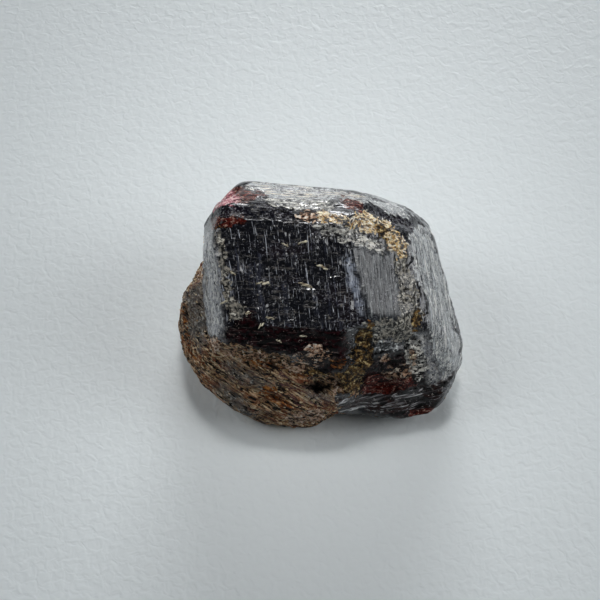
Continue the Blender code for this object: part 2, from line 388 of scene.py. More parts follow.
# The levels of the broad pattern between which scrapes and dust set in, and the least share of dust and
# of scratches, whose pale lines are partly painted highlight, anywhere.
PATCHY = (0.35, 0.6)
DUSTY = (0.46, 0.58)
DUST_LEAST = 0.2
GLINTING_SCRATCHES_LEAST = 0.25
# Growth lines, by the levels of their own patterns.
HAIR_LEVELS = (0.62, 0.70)
WRINKLE_LEVELS = (0.60, 0.70)

# The looks: a ground colour, and what is laid over it in turn. Each layer has a field, two levels between
# which it rises, how strong it gets, its colour, and any fields that it is kept to.
LOOKS = {
    # Nearly black garnet, its faint blue tint painted sky reflection: dust in its skin, pale growth lines that
    # are partly painted highlight, a slate-grey facet whose grey is partly painted reflection, crumpled ends
    # with painted glints, and a frosted edge with a painted bluish highlight.
    "garnet": ("0A0B13", [
        ("broad", 0.50, 0.70, 0.7, "1A0F16"),
        ("grains", 0.52, 0.64, 0.6, "56575F", "dusty"),
        ("dust", 0.60, 0.67, 0.8, "8E8E96", "dusty"),
        ("nets", 0.45, 0.38, 0.9, "030305"),
        ("waves", 0.55, 0.70, 0.4, "70758A", "open_upright", "patchy"),
        ("wrinkles", *WRINKLE_LEVELS, 0.4, "6E655E", "level"),
        # Partly painted highlight: pale hairs where growth lines and scratches catch the light.
        ("hairs", *HAIR_LEVELS, 0.9, "D0D4DE", "scratched_and_glinting"),
        ("grains", 0.64, 0.70, 0.5, "B4AEA2"),
        # Painted glints: grey and white specks on the busy lower right.
        ("lines", 0.52, 0.58, 0.8, "74787A", "busy"),
        ("nets", 0.52, 0.58, 1.0, "8E9294", "busy"),
        ("nets", 0.60, 0.64, 1.0, "F2F4F2", "busy"),
        ("nets", 0.47, 0.44, 1.0, "050609", "busy"),
        # Painted reflection: the smooth facet's grey stands partly for the light it reflects.
        ("lines", 0.35, 0.65, 0.9, "383E42", "smooth"),
        ("lines", 0.60, 0.66, 0.4, "B4B8B8", "smooth"),
        ("grains", 0.60, 0.66, 0.5, "A0A4A2", "smooth"),
        ("nets", 0.44, 0.38, 0.5, "14171A", "smooth"),
        # Partly painted highlight: the bluish-white streak on the frosted edge.
        ("nets", 0.44, 0.54, 0.9, "8C94A4", "frost_and_highlight"),
        ("hairs", 0.51, 0.58, 1.0, "DCE2EE", "frost_and_highlight"),
    ]),
    # Garnet thin enough to show its deep wine red. Where it lies, its reflections are also taken away as
    # painted shade.
    "wine": ("080506", [
        ("nets", 0.50, 0.60, 1.0, "280C10"),
        ("wrinkles", 0.62, 0.68, 0.6, "6A5450"),
        ("grains", 0.64, 0.70, 0.6, "A89690"),
    ]),
    # Broken red glass. Its pink is painted light: the glow where the thin glass is lit through from behind.
    "red": ("100304", [
        ("level_waves", 0.38, 0.50, 1.0, "4C1712"),
        ("nets", 0.50, 0.58, 1.0, "642A22"),
        ("swirls", 0.47, 0.43, 0.9, "0C0303"),
        ("wrinkles", 0.60, 0.64, 0.8, "8A6258"),
        ("nets", 0.36, 0.50, 1.0, "B46E78", "backlit_pink"),
        ("grains", 0.50, 0.58, 1.0, "F0CCCC", "backlit_pink"),
        ("grains", 0.58, 0.64, 0.8, "C09C8C"),
        ("grains", 0.42, 0.38, 0.9, "080202"),
    ]),
    # A scuffed grey strip.
    "haze": ("3C3D40", [
        ("hairs", 0.34, 0.48, 1.0, "92949A"),
        ("nets", 0.45, 0.40, 0.9, "1C1D20"),
        ("grains", 0.50, 0.58, 1.0, "C4C4C2"),
        ("lines", 0.58, 0.63, 1.0, "E2E2DE"),
    ]),
    # The pale film of muscovite that some faces grew against, in long strands. On the top sliver and the far
    # right faces its pale grey is partly painted reflection of the window.
    "pale": ("A0A4A8", [
        ("waves", 0.40, 0.52, 1.0, "C0C4C6"),
        ("strands", 0.50, 0.60, 1.0, "E0E0DC"),
        ("lines", 0.58, 0.64, 0.8, "E4E6E6"),
        ("strands", 0.52, 0.60, 1.0, "DCD2C0", "level"),
        ("nets", 0.44, 0.38, 1.0, "2C2826", "level"),
        ("grey_line", 0.0, 1.0, 1.0, "303236"),
        ("black_line", 0.0, 1.0, 1.0, "17181C"),
        ("thin_line", 0.0, 1.0, 1.0, "2A2C30"),
        ("grains", 0.62, 0.67, 0.8, "FCFAF4"),
    ]),
    # Edges rubbed to grey, with bright specks that are painted glints.
    "speckled": ("2C2B29", [
        ("lines", 0.46, 0.56, 1.0, "74726C"),
        ("grains", 0.45, 0.40, 1.0, "121210"),
        ("grains", 0.52, 0.58, 1.0, "A29C90"),
        ("nets", 0.61, 0.65, 1.0, "DEDACE"),
    ]),
    # White mica crumpled over black garnet. On the step at the right its white is painted glints.
    "crinkled": ("0C0C10", [
        ("nets", 0.48, 0.52, 1.0, "9A9A96"),
        ("level_waves", 0.50, 0.54, 1.0, "ECE8DE"),
        ("grains", 0.58, 0.64, 1.0, "FCFAF4"),
        ("grains", 0.45, 0.41, 0.9, "060608"),
    ]),
    # Bright bands that run along the ledge; the whitest of them are partly painted glints.
    "banded": ("080607", [
        ("mottle", 0.50, 0.58, 0.8, "301814"),
        ("swirls", 0.50, 0.54, 0.9, "565254"),
        ("swirls", 0.57, 0.60, 1.0, "969496"),
        ("swirls", 0.62, 0.65, 1.0, "E4E4E4"),
        ("grains", 0.62, 0.68, 0.7, "C8C0B8"),
    ]),
    # Fibrous brown mica schist, rusty or slate grey in places.
    "crust": ("0E0906", [
        ("fibres", 0.42, 0.47, 1.0, "7C5842"),
        ("chips", 0.34, 0.52, 1.0, "705052", "mauve"),
        ("mottle", 0.49, 0.42, 0.85, "8C4E2E"),
        ("mottle", 0.54, 0.61, 0.85, "26241E"),
        ("fibres", 0.51, 0.545, 1.0, "BA966A"),
        ("chips", 0.57, 0.62, 1.0, "C89C7A"),
        ("fibres", 0.58, 0.61, 1.0, "F0DCB8"),
        ("slate", 0.0, 1.0, 0.8, "666765"),
        ("grains", 0.55, 0.62, 1.0, "C0BCB4", "slate"),
        ("chips", 0.44, 0.40, 1.0, "050302"),
    ]),
    # Iron stain.
    "rust": ("2A1408", [
        ("fibres", 0.46, 0.54, 1.0, "8A4A1C"),
        ("chips", 0.58, 0.66, 1.0, "C88848"),
    ]),
    # Sandy olive crust.
    "olive": ("0E0A07", [
        ("grains", 0.46, 0.53, 1.0, "60482A"),
        ("nets", 0.52, 0.58, 1.0, "806236"),
        ("grains", 0.57, 0.62, 1.0, "DCC690"),
        ("grains", 0.42, 0.38, 1.0, "060403"),
    ]),
    # Crumbs of pinkish feldspar.
    "tan": ("2A1A12", [
        ("grains", 0.42, 0.48, 1.0, "8E6850"),
        ("nets", 0.48, 0.54, 1.0, "C49C80"),
        ("grains", 0.52, 0.57, 1.0, "E8CCB4"),
        ("nets", 0.58, 0.62, 1.0, "FCF4E8"),
        ("nets", 0.44, 0.40, 1.0, "120A07"),
    ]),
    # Golden mica between its loose flakes.
    "mica": ("120D06", [
        ("chips", 0.42, 0.48, 1.0, "7A5C2A"),
        ("grains", 0.48, 0.53, 1.0, "D0A458"),
        ("nets", 0.53, 0.57, 1.0, "F6E8C4"),
        ("grains", 0.58, 0.62, 1.0, "FFFCF2"),
        ("nets", 0.46, 0.43, 1.0, "0A0805"),
    ]),
    # Painted shade at the bottom of a hollow: near black, with none of the garnet's reflection.
    "pit": ("040303", []),
}
# Loose pale chips, laid over whatever is beneath.
CHIPPED = [
    ("grains", 0.53, 0.58, 1.0, "C8A082", "chipped"),
    ("nets", 0.59, 0.62, 1.0, "F4E4D0", "chipped"),
]
# What covers the garnet, in the order of laying: the pattern that breaks up its rim, how full it is and how
# opaque. Below 1, fullness leaves gaps in its middle too.
COVERS = {
    "wine": ("nets", 1.0, 0.94),
    "red": ("nets", 0.97, 1.0),
    "haze": (None, 1.0, 0.92),
    "pale": ("waves", 0.80, 1.0),
    "speckled": ("grains", 0.80, 1.0),
    "crinkled": ("nets", 0.76, 1.0),
    "banded": ("swirls", 1.0, 1.0),
    "crust": ("chips", 1.0, 1.0),
    "rust": ("chips", 0.56, 1.0),
    "olive": ("nets", 0.64, 1.0),
    "tan": ("grains", 0.62, 1.0),
    "mica": ("nets", 0.78, 1.0),
    "pit": (None, 1.0, 1.0),
}
COVER_RIM = (0.94, 1.06)
EARTHY = ("crust", "olive", "tan", "rust")
CHIPS_GO_BEFORE = "mica"
SHARES = (*COVERS, "upright", "level", "backlit_pink", "frost_and_highlight", "smooth", "busy", "slate", "mauve", "dim", "chipped")

# How rough glassy garnet is, and what is laid over it in this order.
GARNET_ROUGHNESS = 0.16
ROUGHNESS = {
    "lined": 0.30, "smooth": 0.26, "on_red": 0.18, "busy": 0.12, "on_pale": 0.32, "earthy": 0.42,
    "on_mica": 0.36,
}
GARNET_IOR = 1.8
# How far each place loses the garnet's reflection, and the specular level with none and with all of it lost.
# The loss is partly a duller finish and partly painted shade, where the surroundings that a place reflects lie
# in shade.
MUTED = {
    "wine": 0.94, "earthy": 0.88, "red": 0.85, "pit": 1.0, "banded": 0.6, "speckled": 0.7, "dim": 0.96,
    "busy": 0.55, "smooth": 0.35,
}
SPECULAR_LEVELS = (0.5, 0.02)
# Relief too fine for the mesh: a field, the levels between which it rises, its height in mm, and where it is.
BUMPS = [
    ("hairs", *HAIR_LEVELS, 0.10, "scratched_and_glinting"),
    ("wrinkles", *WRINKLE_LEVELS, 0.06, "level"),
    ("nets", 0.52, 0.58, 0.10, "busy"),
    ("level_waves", 0.48, 0.56, 0.10, "crinkled"),
    ("lines", 0.0, 1.0, 0.06, "smooth"),
    ("swirls", 0.0, 1.0, 0.20, "banded"),
    ("threads", 0.0, 1.0, 0.10, "pale"),
    ("fibres", 0.0, 1.0, 0.34, "crust"),
    ("chips", 0.0, 1.0, 0.22, "earthy"),
    ("grains", 0.0, 1.0, 0.10, "loose"),
]

# Slivers of pale feldspar caught in the crown: where the camera sees each, its length and width in mm, and
# how far its length is turned from level, in degrees.
FLECKS = {
    "middle_right": ((321, 266), (1.15, 0.30), -14),
    "middle_left": ((267, 283), (1.35, 0.34), 18),
    "middle": ((306, 285), (1.10, 0.26), -3),
    "upper": ((300, 243), (1.30, 0.20), 10),
    "upper_left": ((286, 245), (0.60, 0.20), 0),
    "left": ((233, 273), (0.40, 0.26), 5),
    "low_left": ((247, 313), (0.60, 0.24), 30),
    "low": ((263, 324), (0.80, 0.26), 52),
    "low_side": ((270, 318), (0.60, 0.22), 10),
    "band_left": ((279, 341), (0.45, 0.22), 0),
    "band_right": ((304, 336), (0.60, 0.18), 12),
    "far_left": ((224, 302), (0.60, 0.18), 40),
    "ledge_top": ((413, 356), (0.55, 0.34), 70),
}
# Each is three slivers side by side: how large, and how far along and beside the place.
FLECK_PARTS = ((0.85, 0.0, 0.0), (0.5, -0.42, 0.55), (0.45, 0.36, -0.6))
FLECK_CORNERS = 11
FLECK_HEIGHT_MM = 0.05
FLECK_RAGGED = 1.2
# Its rings, from the root set in the skin to the top: their width and height as shares of the whole.
FLECK_RINGS = ((1.0, -1.6), (0.9, 0.5), (0.45, 1.0))
FLECK_SEAMS_MM = (0.8, 0.22)

# Each kind of loose grain: the share that it grows on, its material slot, its finish's name, three tones and
# roughness, and the inputs of its scatter. Its sides are in mm, and its tilt and loose turn in radians.
GRAINS = {
    "gold_flakes": {
        "on": "mica",
        "slot": "mica",
        "finish": ("muscovite_mica", ("8A5A22", "F2D294", "FFFFFF"), 0.25),
        "sides_mm": {"Long": 0.40, "Short": 0.14, "Thickness": 0.03},
        "spread": {"Density": 6.0 / MM**2, "Corners": 6, "Tilt": 0.4, "Loose Turn": math.pi, "Seed": 11},
    },
    "schist_flakes": {
        "on": "crust",
        "slot": "mica_schist",
        "finish": ("schist_grains", ("2A1C10", "8C6C48", "E8D4B0"), 0.3),
        "sides_mm": {"Long": 0.30, "Short": 0.13, "Thickness": 0.05},
        "spread": {"Density": 1.6 / MM**2, "Corners": 5, "Tilt": 0.3, "Loose Turn": 0.5, "Seed": 13},
    },
}
# Grains thin out where their share is low, and each is larger or smaller by chance.
GRAIN_KEPT_FROM = 0.15
GRAIN_SMALLEST = (0.55, 0.55, 0.6)
GRAIN_LARGEST = (1.5, 1.3, 1.4)
TURN_SEED, SIZE_SEED, TONE_SEED = 3, 5, 9


def linear(hex_colour):
    """An sRGB colour such as 8A7F70 as linear red, green, blue and alpha."""
    parts = [int(hex_colour[place : place + 2], 16) / 255 for place in (0, 2, 4)]
    return [part / 12.92 if part <= 0.04045 else ((part + 0.055) / 1.055) ** 2.4 for part in parts] + [1.0]


def node(tree, kind, inputs=None, **settings):
    """Adds a node. An input is a value, or a socket to link from, by the input's name or number."""
    made = tree.nodes.new(kind)
    for name, value in settings.items():
        setattr(made, name, value)
    for name, value in (inputs or {}).items():
        if isinstance(value, bpy.types.NodeSocket):
            tree.links.new(value, made.inputs[name])
        else:
            made.inputs[name].default_value = value
    return made


def link_object(name, data):
    made = bpy.data.objects.new(name, data)
    bpy.context.scene.collection.objects.link(made)
    return made


# ---------------------------------------------------------------- the crystal's own directions


def crown_frame():
    """Across, up and out of the crown face, as the columns of a matrix."""
    lean = math.radians(CROWN_LEAN_DEG)
    crown = Vector((0, -math.sin(lean), math.cos(lean)))
    across = Vector((1, 0, 0))
    return Matrix((across, crown.cross(across), crown)).transposed()


def lattice():
    """The crystal axes as the columns of a matrix."""
    across, up, crown = crown_frame().transposed()
    turn = math.radians(LATTICE_TURN_DEG)
    c_axis = across * math.cos(turn) + up * math.sin(turn)
    short_axis = across * math.sin(turn) - up * math.cos(turn)
    a_axis = (crown + short_axis).normalized()
    b_axis = (crown - short_axis).normalized()
    return Matrix((a_axis, b_axis, c_axis)).transposed()


def flat_normal(turn_deg, tilt_deg):
    turn, tilt = math.radians(turn_deg), math.radians(tilt_deg)
    across, up = math.sin(tilt) * math.cos(turn), math.sin(tilt) * math.sin(turn)
    return crown_frame() @ Vector((across, up, math.cos(tilt)))


def zone_axis(name):
    """The direction that a zone's growth lines follow."""
    return np.array((lattice() @ Vector(ZONES[name])).normalized())


def line_axis(name):
    """The direction of a zone's growth lines as they really run on the crown."""
    turn = Matrix.Rotation(math.radians(LINE_TURN_DEG[name]), 3, crown_frame().col[2])
    return turn @ Vector(zone_axis(name))


def fan_axes():
    """Along the upright growth lines, and the way in which they fan out."""
    upright = line_axis("upright")
    return upright, crown_frame().col[2].cross(-upright)


# ---------------------------------------------------------------- camera, light and floor


def add_camera():
    """A camera at the crown's own angle, placed so that the crystal's heart falls on its pixel."""
    data = bpy.data.cameras.new("camera")
    data.sensor_width = CAMERA_SENSOR_MM
    data.lens = CAMERA_SENSOR_MM * PIXELS_PER_MM * CAMERA_DISTANCE_MM / PIXELS
    data.clip_start = 0.001
    elevation = math.radians(CAMERA_ELEVATION_DEG)
    back = Vector((0, -math.cos(elevation), math.sin(elevation)))
    up = Vector((0, math.sin(elevation), math.cos(elevation)))
    right_mm = (PIXELS / 2 - HEART_PIXEL[0]) / PIXELS_PER_MM
    up_mm = (HEART_PIXEL[1] - PIXELS / 2) / PIXELS_PER_MM
    middle_mm = MAIN_HEART_MM + Vector((right_mm, 0, 0)) + up * up_mm
    camera = link_object("camera", data)
    camera.location = (middle_mm + back * CAMERA_DISTANCE_MM) * MM
    camera.rotation_mode = "QUATERNION"
    camera.rotation_quaternion = (-back).to_track_quat("-Z", "Y")
    bpy.context.scene.camera = camera


def add_softbox(name, place_mm, size_mm, glow):
    """A softbox that faces the stone."""
    data = bpy.data.lights.new(name, "AREA")
    data.shape = "RECTANGLE"
    data.size, data.size_y = (side * MM for side in size_mm)
    data.energy = glow * math.pi * data.size * data.size_y
    data.color = linear(SOFTBOX_COLOUR)[:3]
    light = link_object(name, data)
    light.location = Vector(place_mm) * MM
    light.rotation_mode = "QUATERNION"
    light.rotation_quaternion = (-Vector(place_mm)).to_track_quat("-Z", "Y")


def add_pool():
    """A soft pool of light on the table around the stone."""
    data = bpy.data.lights.new("pool", "SPOT")
    data.energy = POOL_WATTS
    data.shadow_soft_size = POOL_RADIUS_MM * MM
    data.spot_size = math.radians(POOL_CONE_DEG)
    data.spot_blend = 1.0
    light = link_object("pool", data)
    light.location = POOL_PLACE_MM * MM
    light.rotation_mode = "QUATERNION"
    light.rotation_quaternion = (POOL_AIM_MM - POOL_PLACE_MM).to_track_quat("-Z", "Y")


def add_studio():
    for name, (place_mm, size_mm, glow) in SOFTBOXES.items():
        add_softbox(name, place_mm, size_mm, glow)
    add_pool()
    world = bpy.data.worlds.new("studio")
    world.use_nodes = True
    fill = world.node_tree.nodes["Background"]
    fill.inputs["Color"].default_value = linear(SKY_COLOUR)
    fill.inputs["Strength"].default_value = SKY_STRENGTH
    bpy.context.scene.world = world
    bpy.context.scene.view_settings.view_transform = "Standard"


def add_floor():
    mesh = bmesh.new()
    bmesh.ops.create_grid(mesh, x_segments=1, y_segments=1, size=FLOOR_MM * MM / 2)
    data = bpy.data.meshes.new("floor")
    mesh.to_mesh(data)
    mesh.free()
    data.materials.append(floor_material())
    link_object("floor", data)


def floor_material():
    """Pale laminate desk top, embossed: a satin sheen over a fine leathery grain."""
    material = bpy.data.materials.new("embossed_laminate")
    material.use_nodes = True
    tree = material.node_tree
    surface = tree.nodes["Principled BSDF"]
    place = node(tree, "ShaderNodeTexCoord").outputs["Object"]
    grain = {"Vector": place, "Scale": 1 / (FLOOR_GRAIN_MM * MM), "Detail": 1.5, "Distortion": 0.6}
    pebbles = node(tree, "ShaderNodeTexNoise", grain)
    relief = {"Height": pebbles.outputs["Fac"], "Strength": 1.0, "Distance": FLOOR_RELIEF_MM * MM}
    surface.inputs["Base Color"].default_value = linear(FLOOR_COLOUR)
    surface.inputs["Roughness"].default_value = 0.45
    tree.links.new(node(tree, "ShaderNodeBump", relief).outputs["Normal"], surface.inputs["Normal"])
    return material


# ---------------------------------------------------------------- what covers each place


def ramp(values, low, high):
    share = np.clip((values - low) / (high - low), 0.0, 1.0)
    return share * share * (3.0 - 2.0 * share)


def swells(points_mm, spacing_mm, along=(1, 0, 0), stretch=1.0, shift_mm=0.0):
    """Smooth noise from -1 to 1, drawn out along an axis if it is stretched."""
    axis = np.array(along) / np.linalg.norm(along)
    shortened = points_mm + np.outer(points_mm @ axis * (1.0 / stretch - 1.0), axis)
    return np.array([noise.noise(Vector(point)) for point in (shortened + shift_mm) / spacing_mm])


def fanned(points_mm):
    """The points, moved so that a straight pattern on them fans out."""
    upright, aside = (np.array(axis) for axis in fan_axes())
    offset = points_mm - np.array(MAIN_HEART_MM)
    return points_mm + np.outer((offset @ aside) * (offset @ upright) * FAN_PER_MM, aside)


def main_planes():
    """The main crystal's faces: their normals and distances from its heart, and which zones each is in."""
    axes = lattice()
    planes = [((axes @ Vector(index)).normalized(), distance) for index, distance in MAIN_FACES_MM.items()]
    planes += [(flat_normal(turn, tilt), distance) for turn, tilt, distance in MAIN_FLATS.values()]
    return np.array([normal for normal, _ in planes]), np.array([distance for _, distance in planes])


def seen_from_camera(points_mm):
    """Where the camera sees each point, in pixels."""
    frame_axes = np.array(crown_frame())
    offset = (points_mm - np.array(MAIN_HEART_MM)) @ frame_axes
    aside = (np.array((PIXELS / 2, PIXELS / 2)) - HEART_PIXEL) * (1, -1) / PIXELS_PER_MM
    spread = CAMERA_DISTANCE_MM / (CAMERA_DISTANCE_MM - offset[:, 2])
    flat = aside + (offset[:, :2] - aside) * spread[:, None]
    return np.array(HEART_PIXEL) + flat * (PIXELS_PER_MM, -PIXELS_PER_MM)


def depth_inside(seen, outline):
    """How many pixels each point lies inside an outline. It is negative outside."""
    nearest = np.full(len(seen), np.inf)
    inside = np.zeros(len(seen), bool)
    corners = np.array(outline, float)
    for start, end in zip(corners, np.roll(corners, -1, axis=0)):
        edge = end - start
        from_start = seen - start
        share = np.clip(from_start @ edge / (edge @ edge), 0.0, 1.0)
        nearest = np.minimum(nearest, np.linalg.norm(from_start - share[:, None] * edge, axis=1))
        crosses = (start[1] > seen[:, 1]) != (end[1] > seen[:, 1])
        with np.errstate(divide="ignore", invalid="ignore"):
            reach = start[0] + (seen[:, 1] - start[1]) * edge[0] / edge[1]
        inside ^= crosses & (seen[:, 0] < reach)
    return np.where(inside, nearest, -nearest)


def read_skin(data):
    """Every point of the skin and its normal, in mm."""
    points = np.empty(len(data.vertices) * 3)
    data.vertices.foreach_get("co", points)
    normals = np.empty(len(data.vertices) * 3)
    data.vertices.foreach_get("normal", normals)
    return points.reshape(-1, 3) / MM, normals.reshape(-1, 3)


def cover(data):
    """What covers each point, and where light or shade is painted on it, as shares from 0 to 1 by name."""
    points, normals = read_skin(data)
    plane_normals, distances = main_planes()
    beyond = (points - np.array(MAIN_HEART_MM)) @ plane_normals.T - distances
    facing = plane_normals[np.argmax(beyond, axis=1)]

    shares = {"crust": ramp(np.max(beyond, axis=1), *CRUST_BEYOND_MM)}
    for name in ZONES:
        shares[name] = ramp(1.0 - np.abs(facing @ zone_axis(name)), *ZONE_FIT) * (1.0 - shares["crust"])

    seen = seen_from_camera(points)
    for side, shift in enumerate(FRAY_SHIFTS_MM):
        seen[:, side] += sum(swells(points, spacing, shift_mm=shift) * reach for spacing, reach in FRAYS)
    shown = ramp(normals @ np.array(crown_frame())[:, 2], *SHOWN_FROM)
    for name, outlines in PLACES.items():
        depth = np.max([depth_inside(seen, outline) for outline in outlines.values()], axis=0)
        edge = OTHER_EDGES_PX.get(name, PLACE_EDGE_PX)
        shares[name] = np.maximum(shares.get(name, 0.0), ramp(depth, -edge, edge) * shown)
    shares["crust"] *= 1.0 - shares.pop("bare")
    for name, (spacing, shift, low, high, strength) in HIDDEN_PATCHES.items():
        patches = ramp(swells(points, spacing, shift_mm=shift), low, high)
        shares[name] = np.maximum(shares[name], (1.0 - shown) * strength * patches)
    return shares


# ---------------------------------------------------------------- the skin


def plain_skin():
    """A fine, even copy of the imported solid's surface, with its loose triangles merged first."""
    mesh = bmesh.new()
    mesh.from_mesh(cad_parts["garnet_crystal"].data)
    bmesh.ops.remove_doubles(mesh, verts=mesh.verts, dist=MERGE_M)
    data = bpy.data.meshes.new("garnet_stone")
    mesh.to_mesh(data)
    mesh.free()
    stone = link_object("garnet_stone", data)
    remesh = stone.modifiers.new("remesh", "REMESH")
    remesh.mode = "VOXEL"
    remesh.voxel_size = SKIN_VOXEL_MM * MM
    smooth = stone.modifiers.new("smooth", "SMOOTH")
    smooth.factor = 0.5
    smooth.iterations = SKIN_SMOOTHING
    bpy.context.view_layer.update()
    graph = bpy.context.evaluated_depsgraph_get()
    stone.data = bpy.data.meshes.new_from_object(stone.evaluated_get(graph))
    stone.modifiers.clear()
    stone.data.name = "garnet_stone"
    return stone


def carve(data, shares):
    """Works the fine relief into the skin, inwards from the solid's surface and fading out at the table."""
    points, normals = read_skin(data)
    garnet = 1.0 - shares["crust"]
    rough = 1.0 - np.maximum.reduce([calm * shares[name] for name, calm in CALM.items()])
    fan = fanned(points)
    upright, level = line_axis("upright"), line_axis("level")

    def relief(name, along=(1, 0, 0), shift_mm=0.0):
        depth, spacing, stretch, low, high = RELIEF[name]
        pattern = swells(fan if name == "upright" else points, spacing, along, stretch, shift_mm)
        return depth * ramp(pattern, low, high)

    depth = shares["upright"] * rough * relief("upright", upright)
    depth += shares["level"] * rough * relief("level", level)
    steps = swells(points, TERRACE_SPACING_MM, level, TERRACE_STRETCH)
    depth += garnet * rough * TERRACE_MM * sum(ramp(steps, low, high) for low, high in TERRACE_STEPS)
    depth += shares["busy"] * relief("busy", level)
    depth += shares["crust"] * relief("crust", SCHIST_LAYERS)
    depth += np.maximum(shares["crust"], shares["mica"]) * relief("grains", SCHIST_LAYERS)
    depth += garnet * rough * relief("pits", shift_mm=PIT_SHIFT_MM)
    depth *= ramp(points[:, 2], REST_MM / 2, REST_MM)
    points -= normals * depth[:, None]
    data.vertices.foreach_set("co", (points * MM).astype(np.float32).ravel())
    keep_in_box(data)


def keep_in_box(data):
    """Brings any point that lies past the solid's box back onto it."""
    points = np.empty(len(data.vertices) * 3, np.float32)
    data.vertices.foreach_get("co", points)
    low, high = (np.array(corner) for corner in CAD_BOX)
    data.vertices.foreach_set("co", np.clip(points.reshape(-1, 3), low, high).astype(np.float32).ravel())
    data.update()


def keep_shares(data, shares):
    for name, values in shares.items():
        layer = data.attributes.new(name, "FLOAT", "POINT")
        layer.data.foreach_set("value", values.astype(np.float32))


# ---------------------------------------------------------------- the stone's finish


def drawn_noise(tree, place, along, size_mm, detail, roughness=0.5, distortion=0.0):
    """Noise drawn out along an axis. Its size is given along that axis and across it."""
    long_mm, wide_mm = size_mm
    turned = node(
        tree,
        "ShaderNodeMapping",
        {
            "Vector": place,
            "Rotation": Vector(along).to_track_quat("X", "Z").to_euler(),
            "Scale": (long_mm * MM, wide_mm * MM, wide_mm * MM),
        },
        vector_type="TEXTURE",
    )
    shape = {"Scale": 1.0, "Detail": detail, "Roughness": roughness, "Distortion": distortion}
    return node(tree, "ShaderNodeTexNoise", {"Vector": turned.outputs[0], **shape}).outputs["Fac"]


def fan_place(tree, place):
    """The place of each point, moved as fanned() moves it."""
    upright, aside = fan_axes()
    heart = {0: place, 1: MAIN_HEART_MM * MM}
    offset = node(tree, "ShaderNodeVectorMath", heart, operation="SUBTRACT").outputs[0]
    height, reach = (
        node(tree, "ShaderNodeVectorMath", {0: offset, 1: axis}, operation="DOT_PRODUCT").outputs["Value"]
        for axis in (upright, aside)
    )
    spread = node(tree, "ShaderNodeMath", {0: height, 1: reach}, operation="MULTIPLY").outputs[0]
    shift = node(tree, "ShaderNodeMath", {0: spread, 1: FAN_PER_MM / MM}, operation="MULTIPLY").outputs[0]
    moved = node(tree, "ShaderNodeVectorMath", {0: aside, "Scale": shift}, operation="SCALE").outputs[0]
    return node(tree, "ShaderNodeVectorMath", {0: place, 1: moved}, operation="ADD").outputs[0]


def rising(tree, fields, name, low, high, top, kept_to=()):
    """A share that rises to its top between two levels of a field, only where some others are high."""
    inputs = {"Value": fields[name], "From Min": low, "From Max": high, "To Max": top}
    share = node(tree, "ShaderNodeMapRange", inputs).outputs[0]
    for other in kept_to:
        share = node(tree, "ShaderNodeMath", {0: share, 1: fields[other]}, operation="MULTIPLY").outputs[0]
    return share


def highest(tree, shares):
    """The highest of several shares, each weakened by its own factor."""
    top = 0.0
    for share, factor in shares:
        weakened = node(tree, "ShaderNodeMath", {0: share, 1: factor}, operation="MULTIPLY").outputs[0]
        top = node(tree, "ShaderNodeMath", {0: top, 1: weakened}, operation="MAXIMUM").outputs[0]
    return top


def tint(colour):
    """What a Mix node takes for a hex colour, a plain amount or another node's output."""
    if isinstance(colour, float):
        return (colour, colour, colour, 1.0)
    return linear(colour) if isinstance(colour, str) else colour


def laid_over(tree, fields, under, layers):
    """Colours, or plain amounts, laid over each other, each as far as its share says."""
    for name, low, high, top, colour, *kept_to in layers:
        share = rising(tree, fields, name, low, high, top, kept_to)
        inputs = {0: share, 6: tint(under), 7: tint(colour)}
        under = node(tree, "ShaderNodeMix", inputs, data_type="RGBA").outputs[2]
    return tint(under)


def stone_fields(tree):
    """All that the stone's looks are drawn with: the mesh's shares, the patterns, and what these make."""
    place = node(tree, "ShaderNodeTexCoord").outputs["Object"]
    runs = {
        "upright": (fan_place(tree, place), line_axis("upright")),
        "level": (place, line_axis("level")),
        "ledge": (place, LEDGE_RUN),
        "schist": (place, SCHIST_LAYERS),
        "any": (place, (1, 0, 0)),
    }
    fields = {name: node(tree, "ShaderNodeAttribute", attribute_name=name).outputs["Fac"] for name in SHARES}
    for name, (run, *look) in PATTERNS.items():
        fields[name] = drawn_noise(tree, *runs[run], *look)
    strands = {0: fields["level"], 2: fields["threads"], 3: fields["level_waves"]}
    fields["strands"] = node(tree, "ShaderNodeMix", strands).outputs[0]
    for name, (level, width) in STRAND_LINES.items():
        line = {0: fields["strands"], 1: level, 2: width}
        fields[name] = node(tree, "ShaderNodeMath", line, operation="COMPARE").outputs[0]

    fields["patchy"] = rising(tree, fields, "broad", *PATCHY, 1.0)
    fields["dusty"] = highest(tree, [(rising(tree, fields, "broad", *DUSTY, 1.0), 1.0), (DUST_LEAST, 1.0)])
    not_smooth = node(tree, "ShaderNodeMath", {0: 1.0, 1: fields["smooth"]}, operation="SUBTRACT").outputs[0]
    open_upright = {0: fields["upright"], 1: not_smooth}
    fields["open_upright"] = node(tree, "ShaderNodeMath", open_upright, operation="MULTIPLY").outputs[0]
    fields["scratched_and_glinting"] = highest(tree, [(fields["open_upright"], 1.0), (GLINTING_SCRATCHES_LEAST, 1.0)])

    for name, (pattern, full, _) in COVERS.items():
        fields["on_" + name] = fields[name]
        if pattern:
            inputs = {0: fields[name], 1: full, 2: fields[pattern]}
            fields["piled"] = node(tree, "ShaderNodeMath", inputs, operation="MULTIPLY_ADD").outputs[0]
            fields["on_" + name] = rising(tree, fields, "piled", *COVER_RIM, 1.0)
    lines = (("hairs", *HAIR_LEVELS, "scratched_and_glinting"), ("wrinkles", *WRINKLE_LEVELS, "level"))
    lined = [rising(tree, fields, name, low, high, 1.0, [where]) for name, low, high, where in lines]
    fields["lined"] = highest(tree, [(share, 1.0) for share in lined])
    fields["earthy"] = highest(tree, [(fields["on_" + name], 1.0) for name in EARTHY])
    fields["loose"] = highest(tree, [(fields["earthy"], 1.0), (fields["mica"], 1.0)])
    return fields


